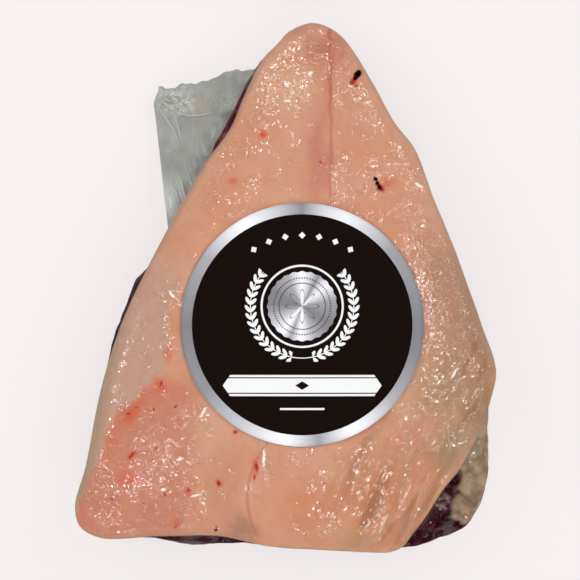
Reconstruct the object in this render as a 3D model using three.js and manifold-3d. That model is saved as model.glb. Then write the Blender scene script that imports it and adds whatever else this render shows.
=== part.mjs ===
// A boneless beef rump cap sealed in a clear vacuum bag, lying fat side up on its lean side.
// Millimetres, +Z up. +Y runs from the broad, thick end to the narrow tip.
// The shape is worked out about the centre of the round label, and the finished group is then
// moved so that its origin is the middle of its footprint, on the surface that it lies on.
import * as THREE from "three";
import { mergeVertices } from "three/addons/utils/BufferGeometryUtils.js";
import Module from "manifold-3d";

// Heights of the joint of meat
const BROAD_HEIGHT = 48.5;
const TIP_HEIGHT = 31;
const BROAD_Y = -112;
const TIP_Y = 150;
const RISE_POWER = 0.9;
const CROWN_RADIUS = 820;

// Fat cap: its thickness, how far it sags towards its rim, and the rounding of the rim itself
const FAT_THICKNESS = 11;
const SAG_WIDTH = 42;
const RIM_SAG = 5;
const FAT_ROLL = 15;
const FAT_DROP = 8;
const ROLL_POWER = 2.4;
const SEAM_INSET = 1.6;
const SEAM_LIP = 1.6;
const LIP_INSET = 0.2;

// Lean side: height of its widest line as a share of the seam's, and the roll to the underside
const BELLY_SHARE = 0.46;
const BASE_ROLL = 11;

// Plan of the pack, clockwise from the tip: x, y, and how far the fat's rim lies inside it
const PLAN = [
  [6, 150, 0],
  [19, 144, 0],
  [35, 120, 0],
  [46, 100.5, 0],
  [56, 88, 0],
  [66, 63, 0],
  [77, 36, 0],
  [90, 1, 0],
  [97, -23, 0],
  [93.5, -40, 1],
  [92.5, -62, 5],
  [91, -84, 15.5],
  [84, -98.5, 18.5],
  [69, -108.5, 13],
  [50, -112, 1.5],
  [24, -113, 0],
  [-4, -111.5, 0],
  [-18.5, -111.2, 0.5],
  [-45, -111, 4],
  [-61, -110.4, 3.5],
  [-73, -107.6, 0.5],
  [-99, -105.5, 0],
  [-109.5, -100.5, 0],
  [-112.5, -91, 0],
  [-106, -69, 0],
  [-100.5, -36, 0],
  [-95, -9, 2],
  [-87, 11.5, 2.5],
  [-73, 38, 0.5],
  [-56, 69, 0.5],
  [-41.5, 93, 4],
  [-28, 118, 4.5],
  [-19.5, 132.5, 1.5],
  [-11.5, 139.5, 0],
  [-6, 146, 0],
];
const TAIL_SIDE_STATIONS = 7;

// Relief of the fat side. The crease runs down the middle of the narrow end.
const CREASE = { x: 14, depth: 1.9, halfWidth: 3.6, sway: 1.6, swayPitch: 17, from: 58, to: 142, fade: 15 };

// The long folds run out towards the broad end on the right, slanting down to the left.
const FOLDS = {
  x: 48, y: -88, reachX: 40, reachY: 34,
  slant: -0.455, height: 1.5, pitch: 3.1,
  meander: 0.6, meanderPitch: 14,
};

// The thicker swell of fat lies in the lower left corner, beyond a slanting edge.
const SWELL = {
  x: -75, y: -82, reachX: 48, reachY: 42, height: 1.6,
  edgeX: -88, edgeY: -40, edgeSlant: -0.9, edgeSoftness: 5,
};

// Unevenness of the whole cap, as a coarse and a fine wave, and of the lean side all round
const COARSE_WAVE = { height: 0.8, pitchX: 23, startX: 1.3, pitchY: 29, startY: 0.4 };
const FINE_WAVE = { height: 0.5, pitchAlong: 13.5, pitchAcross: 19, skew: 1.7, start: 2.1 };
const LEAN_WAVES = [
  { height: 0.9, lobes: 9, twist: 9 },
  { height: 0.6, lobes: 23, twist: -6 },
];

// Loose end of the bag, which sticks out beside the narrow end
const TAIL_THICKNESS = 1.1;
const TAIL_ROOT_HEIGHT = 12;
const TAIL_EDGE_HEIGHT = 3.2;
const TAIL_REACH = 42;
const TAIL_LOW_Y = 42;
const TAIL_CORNER_Y = 122;
const TAIL_CORNER_CUT = 3.5;
const TAIL_RISE = 5;
const TAIL_STEP = 3.5;
const TAIL_DIP = 1.2;
const TAIL_OVERLAP = 9;
const TAIL_LEFT_LOW_X = -67;
const TAIL_LEFT_HIGH_X = -76.5;
const TAIL_FOLD = { y: 106, rise: 0.03, height: 1.4, halfWidth: 2.4 };
const TAIL_PLEATS = { y: 58, reach: 26, height: 0.9, pitch: 1.6, slant: 30 };
const TAIL_CRUMPLE = { x: -66, reachX: 13, y: 113, reachY: 14, height: 1.1, pitchX: 2.3, pitchY: 2.7 };
const TAIL_BILLOW = { height: 0.9, pitchX: 8, pitchY: 11 };

// Round label
const LABEL_RADIUS = 60;
const LABEL_THICKNESS = 0.5;
const LABEL_GAP = 0.35;
const CALM_RADIUS = 64;
const RELIEF_RADIUS = 84;

// Mesh density
const SPOKES = 128;
const TOP_RINGS = 17;
const TOP_CROWDING = 1.35;
const LEAN_RINGS = 5;
const BASE_RINGS = 4;
const TAIL_COLUMNS = 22;
const TAIL_ROWS = 20;
const LABEL_SPOKES = 48;
const LABEL_RINGS = 5;

const { clamp, lerp, smoothstep } = THREE.MathUtils;

// A bump of height 1 at the middle that dies away smoothly over the given half width.
const bell = (distance, halfWidth) => Math.exp(-((distance / halfWidth) ** 2));

function crease(x, y) {
  const { from, to, fade, sway, swayPitch } = CREASE;
  const line = CREASE.x + sway * Math.sin(y / swayPitch);
  const reach = smoothstep(y, from, from + fade) * (1 - smoothstep(y, to - fade, to));
  return -CREASE.depth * bell(x - line, CREASE.halfWidth) * reach;
}

function folds(x, y) {
  const [cos, sin] = [Math.cos(FOLDS.slant), Math.sin(FOLDS.slant)];
  const across = x * cos + y * sin;
  const along = y * cos - x * sin;
  const wave = Math.sin(across / FOLDS.pitch + FOLDS.meander * Math.sin(along / FOLDS.meanderPitch));
  return FOLDS.height * wave * bell(x - FOLDS.x, FOLDS.reachX) * bell(y - FOLDS.y, FOLDS.reachY);
}

function swell(x, y) {
  const [cos, sin] = [Math.cos(SWELL.edgeSlant), Math.sin(SWELL.edgeSlant)];
  const beyond = ((x - SWELL.edgeX) * cos + (y - SWELL.edgeY) * sin) / SWELL.edgeSoftness;
  const raised = SWELL.height / (1 + Math.exp(-beyond));
  return raised * bell(x - SWELL.x, SWELL.reachX) * bell(y - SWELL.y, SWELL.reachY);
}

function unevenness(x, y) {
  const [coarse, fine] = [COARSE_WAVE, FINE_WAVE];
  const broad = Math.sin(x / coarse.pitchX + coarse.startX) * Math.sin(y / coarse.pitchY + coarse.startY);
  const slanted = Math.sin((x - fine.skew * y) / fine.pitchAcross + fine.start);
  const small = Math.sin((x + y) / fine.pitchAlong) * slanted;
  return coarse.height * broad + fine.height * small;
}

// Height of the fat side over a place in the plan. It lies calm and smooth under the label.
function topHeight(x, y) {
  const along = clamp((TIP_Y - y) / (TIP_Y - BROAD_Y), 0, 1);
  const body = lerp(TIP_HEIGHT, BROAD_HEIGHT, Math.sin((along * Math.PI) / 2) ** RISE_POWER);
  const calm = smoothstep(Math.hypot(x, y), CALM_RADIUS, RELIEF_RADIUS);
  const relief = crease(x, y) + folds(x, y) + swell(x, y) + unevenness(x, y);
  return body - (x * x) / (2 * CROWN_RADIUS) + calm * relief;
}

// Closed shape from rings of equal length, first and last ring each shrunk to one point.
function shellOf(rings) {
  const count = rings[0].length;
  const poles = [rings[0], rings[rings.length - 1]].map((ring) =>
    ring.reduce((sum, p) => sum.add(p), new THREE.Vector3()).divideScalar(count),
  );
  const middle = rings.slice(1, -1);
  const points = [poles[0], ...middle.flat(), poles[1]];
  const index = [];
  const at = (ring, spoke) => 1 + ring * count + (spoke % count);
  for (let s = 0; s < count; s++) {
    index.push(0, at(0, s), at(0, s + 1));
    for (let r = 0; r < middle.length - 1; r++) {
      index.push(at(r, s), at(r + 1, s), at(r + 1, s + 1));
      index.push(at(r, s), at(r + 1, s + 1), at(r, s + 1));
    }
    index.push(points.length - 1, at(middle.length - 1, s + 1), at(middle.length - 1, s));
  }
  return geometryOf(points, index);
}

function geometryOf(points, index) {
  return new THREE.BufferGeometry().setFromPoints(points).setIndex(index);
}

// Plan curves, anticlockwise, as evenly spaced stations: where the pack's rim is, and the inset.
function planStations() {
  const corners = PLAN.map(([x, y, inset]) => new THREE.Vector3(x, y, inset)).reverse();
  const curve = new THREE.CatmullRomCurve3(corners, true, "centripetal");
  return curve.getSpacedPoints(SPOKES).slice(0, SPOKES);
}

// Uneven bulging of the lean side, in and out along the rim.
function bulge(angle, height) {
  const parts = LEAN_WAVES.map((wave) => wave.height * Math.sin(wave.lobes * angle + height / wave.twist));
  return parts.reduce((sum, part) => sum + part, 0);
}

// One spoke of the body: points from the middle of the fat side, over the rim, to the underside.
function spokePoints(station) {
  const reach = Math.hypot(station.x, station.y);
  const [cos, sin] = [station.x / reach, station.y / reach];
  const angle = Math.atan2(sin, cos);
  const fatReach = reach - Math.max(station.z, 0);
  const point = (radius, z) => new THREE.Vector3(radius * cos, radius * sin, z);
  const sagStart = Math.max(fatReach - SAG_WIDTH, CALM_RADIUS);
  const plateau = (radius) => {
    const sag = clamp((radius - sagStart) / (fatReach - sagStart), 0, 1);
    return topHeight(radius * cos, radius * sin) - RIM_SAG * sag * sag;
  };

  const points = [];
  for (let ring = 0; ring <= TOP_RINGS; ring++) {
    const share = 1 - (1 - ring / TOP_RINGS) ** TOP_CROWDING;
    const radius = share * fatReach;
    const roll = clamp((radius - (fatReach - FAT_ROLL)) / FAT_ROLL, 0, 1);
    points.push(point(radius, plateau(radius) - FAT_DROP * (1 - Math.sqrt(1 - roll ** ROLL_POWER))));
  }

  const seamHeight = plateau(fatReach) - FAT_THICKNESS;
  const seamReach = fatReach - SEAM_INSET;
  const belly = BELLY_SHARE * seamHeight;
  points.push(point(fatReach - LIP_INSET, seamHeight + SEAM_LIP));
  for (let ring = 0; ring < LEAN_RINGS; ring++) {
    const turn = (ring / LEAN_RINGS) * (Math.PI / 2);
    const height = belly + (seamHeight - belly) * Math.cos(turn);
    const swollen = reach + bulge(angle, height) * Math.sin(turn);
    points.push(point(lerp(seamReach, swollen, Math.sin(turn)), height));
  }
  for (let ring = 0; ring <= LEAN_RINGS; ring++) {
    const turn = (ring / LEAN_RINGS) * (Math.PI / 2);
    const height = belly * (1 - Math.sin(turn));
    const swollen = reach + bulge(angle, height) * Math.cos(turn);
    points.push(point(swollen - BASE_ROLL * (1 - Math.cos(turn)), height));
  }
  const footReach = reach - BASE_ROLL;
  for (let ring = 1; ring <= BASE_RINGS; ring++) {
    points.push(point(footReach * (1 - ring / BASE_RINGS), 0));
  }
  return points;
}

function bodyGeometry() {
  const spokes = planStations().map(spokePoints);
  const rings = spokes[0].map((_, ring) => spokes.map((spoke) => spoke[ring]));
  return shellOf(rings);
}

// Left edge of the meat beside the loose end, as x for a given y.
function meatEdge(y) {
  const side = PLAN.slice(-TAIL_SIDE_STATIONS).map(([x, stationY]) => [stationY, x]);
  const next = side.findIndex(([stationY]) => stationY > y);
  const [y0, x0] = side[Math.max(next - 1, 0)];
  const [y1, x1] = side[Math.max(next, 1)];
  return lerp(x0, x1, (y - y0) / (y1 - y0));
}

// Height of the loose end's middle sheet: it droops from the meat to the table, pleated where it is
// gathered low down, crumpled at its corner, and folded across just under its cut edge.
function tailHeight(x, y) {
  const beyond = Math.max(meatEdge(y) - x, 0);
  const droop = lerp(TAIL_ROOT_HEIGHT, TAIL_EDGE_HEIGHT, smoothstep(beyond, 0, TAIL_REACH));
  const pleats = TAIL_PLEATS.height * Math.sin(x / TAIL_PLEATS.pitch + y / TAIL_PLEATS.slant);
  const gathered = bell(y - TAIL_PLEATS.y, TAIL_PLEATS.reach);
  const crumple = TAIL_CRUMPLE.height * Math.sin(x / TAIL_CRUMPLE.pitchX) * Math.sin(y / TAIL_CRUMPLE.pitchY);
  const { reachX, reachY } = TAIL_CRUMPLE;
  const corner = bell(x - TAIL_CRUMPLE.x, reachX) * bell(y - TAIL_CRUMPLE.y, reachY);
  const fold = TAIL_FOLD.height * bell(y - TAIL_FOLD.y - TAIL_FOLD.rise * x, TAIL_FOLD.halfWidth);
  const billow = TAIL_BILLOW.height * Math.sin(x / TAIL_BILLOW.pitchX + 1) * Math.sin(y / TAIL_BILLOW.pitchY);
  return droop + pleats * gathered + crumple * corner + fold + billow;
}

// The cut edge at the top of the loose end, as y for a share u of its width: dipped beside the
// corner, then stepped up where the edge is folded over.
function cutEdge(u) {
  const dip = TAIL_DIP * bell(u - 0.12, 0.1);
  return TAIL_CORNER_Y + TAIL_RISE * u - dip + TAIL_STEP * smoothstep(u, 0.42, 0.58);
}

function tailGeometry() {
  const faces = [1, -1].map((side) => {
    const sheet = [];
    for (let row = 0; row <= TAIL_ROWS; row++) {
      for (let column = 0; column <= TAIL_COLUMNS; column++) {
        const [u, v] = [column / TAIL_COLUMNS, row / TAIL_ROWS];
        const y = lerp(TAIL_LOW_Y, cutEdge(u), v);
        const corner = TAIL_CORNER_CUT * smoothstep(v, 0.88, 1);
        const left = lerp(TAIL_LEFT_LOW_X, TAIL_LEFT_HIGH_X, v) + corner;
        const x = lerp(left, meatEdge(y) + TAIL_OVERLAP, u);
        sheet.push(new THREE.Vector3(x, y, tailHeight(x, y) + (side * TAIL_THICKNESS) / 2));
      }
    }
    return sheet;
  });
  const across = TAIL_COLUMNS + 1;
  const sheetSize = faces[0].length;
  const upper = (row, column) => row * across + column;
  const lower = (row, column) => sheetSize + upper(row, column);
  const index = [];
  const quad = (a, b, c, d) => index.push(a, b, c, a, c, d);
  for (let r = 0; r < TAIL_ROWS; r++) {
    for (let c = 0; c < TAIL_COLUMNS; c++) {
      quad(upper(r, c), upper(r, c + 1), upper(r + 1, c + 1), upper(r + 1, c));
      quad(lower(r, c), lower(r + 1, c), lower(r + 1, c + 1), lower(r, c + 1));
    }
    quad(upper(r, 0), upper(r + 1, 0), lower(r + 1, 0), lower(r, 0));
    const last = TAIL_COLUMNS;
    quad(lower(r, last), lower(r + 1, last), upper(r + 1, last), upper(r, last));
  }
  const top = TAIL_ROWS;
  for (let c = 0; c < TAIL_COLUMNS; c++) {
    quad(lower(0, c), lower(0, c + 1), upper(0, c + 1), upper(0, c));
    quad(upper(top, c), upper(top, c + 1), lower(top, c + 1), lower(top, c));
  }
  return geometryOf(faces.flat(), index);
}

// Label: a thin disc that follows the fat side under it.
function labelGeometry() {
  const ringAt = (radius, lift) =>
    Array.from({ length: LABEL_SPOKES }, (_, spoke) => {
      const angle = (spoke / LABEL_SPOKES) * 2 * Math.PI;
      const [x, y] = [radius * Math.cos(angle), radius * Math.sin(angle)];
      return new THREE.Vector3(x, y, topHeight(x, y) + lift);
    });
  const radii = Array.from({ length: LABEL_RINGS + 1 }, (_, ring) => (ring / LABEL_RINGS) * LABEL_RADIUS);
  const upper = radii.map((radius) => ringAt(radius, LABEL_GAP + LABEL_THICKNESS));
  const lower = radii.map((radius) => ringAt(radius, LABEL_GAP)).reverse();
  return shellOf([...upper, ...lower]);
}

// Joining of closed shapes
const MERGE_DISTANCE = 1e-4;
const wasm = await Module();
wasm.setup();

function solidOf(geometry) {
  const merged = mergeVertices(geometry, MERGE_DISTANCE);
  return new wasm.Manifold(
    new wasm.Mesh({
      numProp: 3,
      vertProperties: new Float32Array(merged.attributes.position.array),
      triVerts: new Uint32Array(merged.index.array),
    }),
  );
}

function fromSolid(solid) {
  const made = solid.getMesh();
  return new THREE.BufferGeometry()
    .setAttribute("position", new THREE.BufferAttribute(made.vertProperties, 3))
    .setIndex(new THREE.BufferAttribute(made.triVerts, 1));
}

function vacuumBag() {
  const whole = solidOf(bodyGeometry()).add(solidOf(tailGeometry()));
  const fatThroughFilm = new THREE.MeshStandardMaterial({ color: 0xd9a07c, roughness: 0.25, metalness: 0 });
  const mesh = new THREE.Mesh(fromSolid(whole), fatThroughFilm);
  mesh.name = "vacuum_bag";
  return mesh;
}

function label() {
  const printedFilm = new THREE.MeshStandardMaterial({ color: 0x1d120e, roughness: 0.4, metalness: 0 });
  const mesh = new THREE.Mesh(labelGeometry(), printedFilm);
  mesh.name = "label";
  return mesh;
}

const pack = new THREE.Group();
pack.add(vacuumBag(), label());
const footprint = new THREE.Box3().setFromObject(pack);
const middle = footprint.getCenter(new THREE.Vector3());
pack.position.set(-middle.x, -middle.y, -footprint.min.z);

export default pack;
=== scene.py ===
# A vacuum-packed beef rump cap: dark lean, a thick fat cap, clear shrink film with a loose end,
# and a round label. The shapes are worked out in millimetres about the middle of the label.
from functools import cached_property
import math

import bpy
import numpy as np
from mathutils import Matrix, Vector, noise


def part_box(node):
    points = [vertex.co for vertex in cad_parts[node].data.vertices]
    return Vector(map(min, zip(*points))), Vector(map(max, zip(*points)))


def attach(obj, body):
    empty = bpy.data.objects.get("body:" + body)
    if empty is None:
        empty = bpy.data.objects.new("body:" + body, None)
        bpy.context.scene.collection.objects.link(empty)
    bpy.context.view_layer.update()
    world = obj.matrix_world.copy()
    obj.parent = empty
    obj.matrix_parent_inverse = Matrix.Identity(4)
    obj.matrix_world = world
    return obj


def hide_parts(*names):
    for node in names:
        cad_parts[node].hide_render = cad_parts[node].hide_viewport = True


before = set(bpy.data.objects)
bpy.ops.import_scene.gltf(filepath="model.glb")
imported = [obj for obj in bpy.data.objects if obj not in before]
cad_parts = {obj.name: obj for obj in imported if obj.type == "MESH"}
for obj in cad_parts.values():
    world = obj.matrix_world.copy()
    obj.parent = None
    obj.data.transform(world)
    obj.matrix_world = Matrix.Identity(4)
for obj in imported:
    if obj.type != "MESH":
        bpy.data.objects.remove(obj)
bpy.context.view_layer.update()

MM = 0.001
LABEL_LOW, LABEL_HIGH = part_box("label")
CENTRE = ((LABEL_LOW + LABEL_HIGH) / 2 / MM).xy

# The joint of meat: heights, fat cap and lean side, as in the solid
BROAD_HEIGHT, TIP_HEIGHT = 48.5, 31
BROAD_Y, TIP_Y = -112, 150
RISE_POWER = 0.9
CROWN_RADIUS = 820
FAT_THICKNESS = 11
SAG_WIDTH, RIM_SAG = 42, 5
FAT_ROLL, FAT_DROP, ROLL_POWER = 10, 8, 2.4
SEAM_INSET = 1.6
BELLY_SHARE, BASE_ROLL = 0.46, 11
SHELF_POWER = 2.8
CALM_RADIUS, RELIEF_RADIUS = 64, 84
LEAN_INSET = 0.8
LEAN_HIDDEN, LEAN_SHOWN = 0.3, 3
CREASE_X, CREASE_DEPTH, CREASE_WIDTH = 14, 1.2, 4.2
FOLD_SLANT = -0.455
VALLEY_DEPTH, VALLEY_WIDTH = 0.7, 1.6
SWELL_SLANT, SWELL_HEIGHT = -0.9, 1.6

# Plan of the pack, clockwise from the tip: x, y, and how far the fat's rim lies inside it
PLAN = [
    (6, 151.8, 0), (19.2, 145.5, 0), (35.4, 121.4, 0), (46.4, 101.4, 0), (56.2, 88.2, 0), (66, 63, 0),
    (77, 36, 0), (89.4, 1, 0), (97, -23, 0), (95.3, -40.8, 2), (94, -63, 9), (92, -85, 18.5),
    (84.6, -99.3, 22), (69.6, -109.4, 15.5), (60, -112, 9.5), (50.4, -113.2, 2.4), (42, -113.6, 0),
    (24, -113, 0), (-4, -111.5, 0),
    (-18.5, -111.6, 1.5), (-45, -111, 6.5), (-61, -110.4, 6), (-73, -107.6, 2.5),
    (-100, -106.8, 0), (-110.6, -101.6, 0), (-113.4, -91.8, 0), (-108, -70.2, 0), (-101.5, -36.3, 0),
    (-96, -9, 2.5), (-89, 11.8, 3.5), (-73, 38, 0.5), (-56, 69, 0.5), (-47, 84.5, 1),
    (-42.6, 93, 3), (-37.4, 104.5, 5.6), (-30.2, 118.8, 4.6), (-20.6, 134.2, 1.8), (-12.4, 141, 0),
    (-6.4, 147.4, 0),
]
TAIL_SIDE_STATIONS = 9
CURVE_STEPS = 60

# The loose end of the bag
TAIL_THICKNESS = 0.5
TAIL_ROOT_HEIGHT, TAIL_EDGE_HEIGHT, TAIL_REACH = 12, 3.2, 42
TAIL_LOW_Y, TAIL_CORNER_Y = 42, 120.6
TAIL_CORNER_CUT, TAIL_RISE, TAIL_STEP, TAIL_DIP = 3.5, 5, 3.8, 1.2
TAIL_OVERLAP = 5
TAIL_LEFT_LOW_X, TAIL_LEFT_HIGH_X = -67, -76.5
TAIL_FOLD_Y = 106
TAIL_CREASE_WIDTH = 0.32

# The label
LABEL_RADIUS, LABEL_THICKNESS, LABEL_GAP = 60, 0.5, 0.35
PRINT_RADIUS = 54.4
SHOWN_RADIUS = LABEL_RADIUS - 4

# How close the pieces lie
FILM_LIFT, SIDE_LIFT, FILM_SEAM_GAP = 0.35, 0.3, 0.4
SEAM_GAP = 0.15
LIP_INSET = 3
LEAN_SHRINK, LEAN_LIFT = 0.35, 0.4
FLOOR_DROP = 0.15

# How fine the meshes are
SKIN_SPOKES, LEAN_SPOKES = 640, 512
HIDDEN_RINGS, SHOWN_RINGS = 5, 100
LEAN_UPPER_RINGS, LEAN_LOWER_RINGS, LEAN_BASE_RINGS = 30, 24, 6
FILM_UPPER_RINGS, FILM_LOWER_RINGS, FILM_BASE_RINGS = 26, 14, 5
LIP_RINGS = 6
TAIL_COLUMNS, TAIL_ROWS = 120, 220
LABEL_SPOKES, LABEL_RINGS, LABEL_BACK_RINGS = 192, 30, 6
MERGE_DISTANCE = 1e-7


# Shape of the meat, in arrays of millimetres


def bell(distance, half_width):
    return np.exp(-((distance / half_width) ** 2))


def smoothstep(value, low, high):
    share = np.clip((value - low) / (high - low), 0, 1)
    return share * share * (3 - 2 * share)


def lerp(start, end, share):
    return start + (end - start) * share


def ridge(x, y, path, half_width):
    """1 along a path of corners on the plan, falling to 0 beside it and thinning out to its ends."""
    corners = np.array(path, float)
    steps = np.diff(corners, axis=0)
    lengths = np.hypot(*steps.T)
    before = np.concatenate([[0], np.cumsum(lengths)])
    best = np.zeros(x.shape)
    for corner, step, length, start in zip(corners, steps, lengths, before):
        share = np.clip(((x - corner[0]) * step[0] + (y - corner[1]) * step[1]) / length**2, 0, 1)
        away = np.hypot(x - corner[0] - share * step[0], y - corner[1] - share * step[1])
        taper = np.sin(math.pi * (start + share * length) / before[-1])
        height = bell(away, half_width * (0.5 + 0.5 * taper)) * np.sqrt(np.maximum(taper, 0))
        best = np.maximum(best, height)
    return best


def crease(x, y):
    line = CREASE_X + 1.6 * np.sin(y / 17)
    ends = smoothstep(y, 58, 73) * (1 - smoothstep(y, 127, 142))
    return -CREASE_DEPTH * bell(x - line, CREASE_WIDTH) * ends


# Valleys on the right, as the ends of each
VALLEYS = [
    [(87, -6), (84, -18)],
    [(83, -14), (79, -26)],
    [(92, -15), (86, -31)],
    [(88, -37), (74, -56)],
    [(56, -86), (36, -110)],
    [(69, -78), (54, -99)],
    [(39, -82), (28, -101)],
]


def folds(x, y):
    across = x * math.cos(FOLD_SLANT) + y * math.sin(FOLD_SLANT)
    along = y * math.cos(FOLD_SLANT) - x * math.sin(FOLD_SLANT)
    broad = np.sin(across / 3.1 + 0.6 * np.sin(along / 14))
    narrow = np.sin(across / 1.6 + 1.1 * np.sin(along / 9) + 2 * np.sin(across / 7))
    ripple = (0.5 * broad + 0.35 * narrow) * bell(x - 46, 36) * bell(y + 80, 32)
    valleys = np.max([ridge(x, y, path, VALLEY_WIDTH) for path in VALLEYS], axis=0)
    return ripple - VALLEY_DEPTH * valleys


def swell(x, y):
    beyond = ((x + 88) * math.cos(SWELL_SLANT) + (y + 40) * math.sin(SWELL_SLANT)) / 5
    return SWELL_HEIGHT / (1 + np.exp(-beyond)) * bell(x + 75, 48) * bell(y + 82, 42)


def unevenness(x, y):
    broad = 0.8 * np.sin(x / 23 + 1.3) * np.sin(y / 29 + 0.4)
    return broad + 0.5 * np.sin((x + y) / 13.5) * np.sin((x - 1.7 * y) / 19 + 2.1)


def top_height(x, y):
    """Height of the fat side over a place in the plan, calm under the label."""
    along = np.clip((TIP_Y - y) / (TIP_Y - BROAD_Y), 0, 1)
    body = lerp(TIP_HEIGHT, BROAD_HEIGHT, np.sin(along * math.pi / 2) ** RISE_POWER)
    calm = smoothstep(np.hypot(x, y), CALM_RADIUS, RELIEF_RADIUS)
    relief = crease(x, y) + folds(x, y) + swell(x, y) + unevenness(x, y)
    return body - x * x / (2 * CROWN_RADIUS) + calm * relief


def bulge(angle, height):
    return 0.9 * np.sin(9 * angle + height / 9) + 0.6 * np.sin(23 * angle - height / 6)


def plan_curve(count):
    """Stations spaced evenly along the rim, anticlockwise: x, y and the fat's inset."""
    here = np.array(PLAN[::-1], float)
    before, after, beyond = (np.roll(here, -shift, axis=0) for shift in (-1, 1, 2))
    gap = np.linalg.norm(after - here, axis=1, keepdims=True) ** 0.5
    gap_before, gap_after = np.roll(gap, 1, axis=0), np.roll(gap, -1, axis=0)
    middle = (after - here) / gap
    leave = (here - before) / gap_before - (after - before) / (gap_before + gap) + middle
    arrive = middle - (beyond - here) / (gap + gap_after) + (beyond - after) / gap_after
    t = np.linspace(0, 1, CURVE_STEPS, endpoint=False)[None, :, None]
    here, after, leave, arrive = (v[:, None, :] for v in (here, after, leave * gap, arrive * gap))
    cubic = (2 * here - 2 * after + leave + arrive) * t**3
    curve = cubic + (3 * after - 3 * here - 2 * leave - arrive) * t**2 + leave * t + here
    curve = curve.reshape(-1, 3)
    steps = np.linalg.norm(np.roll(curve, -1, axis=0) - curve, axis=1)
    length = np.concatenate([[0], np.cumsum(steps)])
    curve = np.vstack([curve, curve[:1]])
    spaced = np.linspace(0, length[-1], count, endpoint=False)
    return np.stack([np.interp(spaced, length, curve[:, axis]) for axis in range(3)], axis=1)


class Spokes:
    """Directions out from the middle of the label to the rim, with the heights along each."""

    def __init__(self, count):
        x, y, inset = plan_curve(count).T
        self.count = count
        self.reach = np.hypot(x, y)
        self.cos, self.sin = x / self.reach, y / self.reach
        self.angle = np.arctan2(self.sin, self.cos)
        inset = np.maximum(inset, 0)
        self.shows_lean = smoothstep(inset, LEAN_HIDDEN, LEAN_SHOWN)
        self.fat_reach = self.reach - inset
        self.seam = self.plateau(self.fat_reach) - FAT_THICKNESS
        self.belly = BELLY_SHARE * self.seam

    def swollen(self, height):
        """How far the side reaches: bumpy where the lean shows, and else just inside the fat."""
        hidden = 1 - self.shows_lean
        return self.reach + bulge(self.angle, height) * self.shows_lean - LEAN_INSET * hidden

    def plateau(self, radius):
        sag_start = np.maximum(self.fat_reach - SAG_WIDTH, CALM_RADIUS)
        sag = np.clip((radius - sag_start) / (self.fat_reach - sag_start), 0, 1)
        return top_height(radius * self.cos, radius * self.sin) - RIM_SAG * sag * sag

    def point(self, radius, height):
        height = np.broadcast_to(height, radius.shape)
        return np.stack([radius * self.cos, radius * self.sin, height], axis=-1)

    def top(self, radius):
        """A ring on the fat side, rolled down at the rim."""
        roll = np.clip((radius - (self.fat_reach - FAT_ROLL)) / FAT_ROLL, 0, 1)
        drop = FAT_DROP * (1 - np.sqrt(1 - roll**ROLL_POWER))
        return self.point(radius, self.plateau(radius) - drop)

    def top_rings(self):
        """Rings from the middle to the rim: a few under the label, and the rest close together."""
        start = np.full(self.count, SHOWN_RADIUS)
        inner = [self.top(start * ring / HIDDEN_RINGS) for ring in range(HIDDEN_RINGS)]
        shares = 1 - (1 - np.arange(SHOWN_RINGS + 1) / SHOWN_RINGS) ** 1.25
        return inner + [self.top(lerp(SHOWN_RADIUS, self.fat_reach, share)) for share in shares]

    def side_rings(self, start_reach, start_height, upper, lower):
        """Rings from a line under the rim, over the belly of the lean, to the underside."""
        rings = []
        for step in range(upper):
            turn = (step + 1) / (upper + 1) * math.pi / 2
            share = math.sin(turn)
            fall = (1 - share**SHELF_POWER) ** (1 / SHELF_POWER)
            height = self.belly + (start_height(share) - self.belly) * fall
            reach = lerp(start_reach, self.swollen(height), share)
            rings.append(self.point(reach, height))
        for step in range(lower + 1):
            turn = step / lower * math.pi / 2
            height = self.belly * (1 - math.sin(turn))
            reach = self.swollen(height) - BASE_ROLL * (1 - math.cos(turn))
            rings.append(self.point(reach, height))
        return rings

    def base_rings(self, count):
        foot = self.reach - BASE_ROLL
        return [self.point(foot * (1 - ring / count), 0.0) for ring in range(1, count + 1)]


# Fine relief: height, width and seed of each kind of lump
MEDIUM_LUMPS = (0.17, 3.4, 1)
BROAD_LUMPS = (0.2, 7, 3)
COARSE_LUMPS = (0.28, 15, 2)
LEAN_LUMPS, SMALL_LEAN_LUMPS = (0.7, 7, 5), (0.3, 3.2, 6)
SEED_STEP = 7.3


def lumps(points, pitch, seed):
    """Smooth noise between about -1 and 1, with lumps as wide as the pitch."""
    return np.array([noise.noise(Vector(p)) for p in points / pitch + seed * SEED_STEP])


def swelling(points, kind):
    height, pitch, seed = kind
    return height * lumps(points, pitch, seed)


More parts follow.
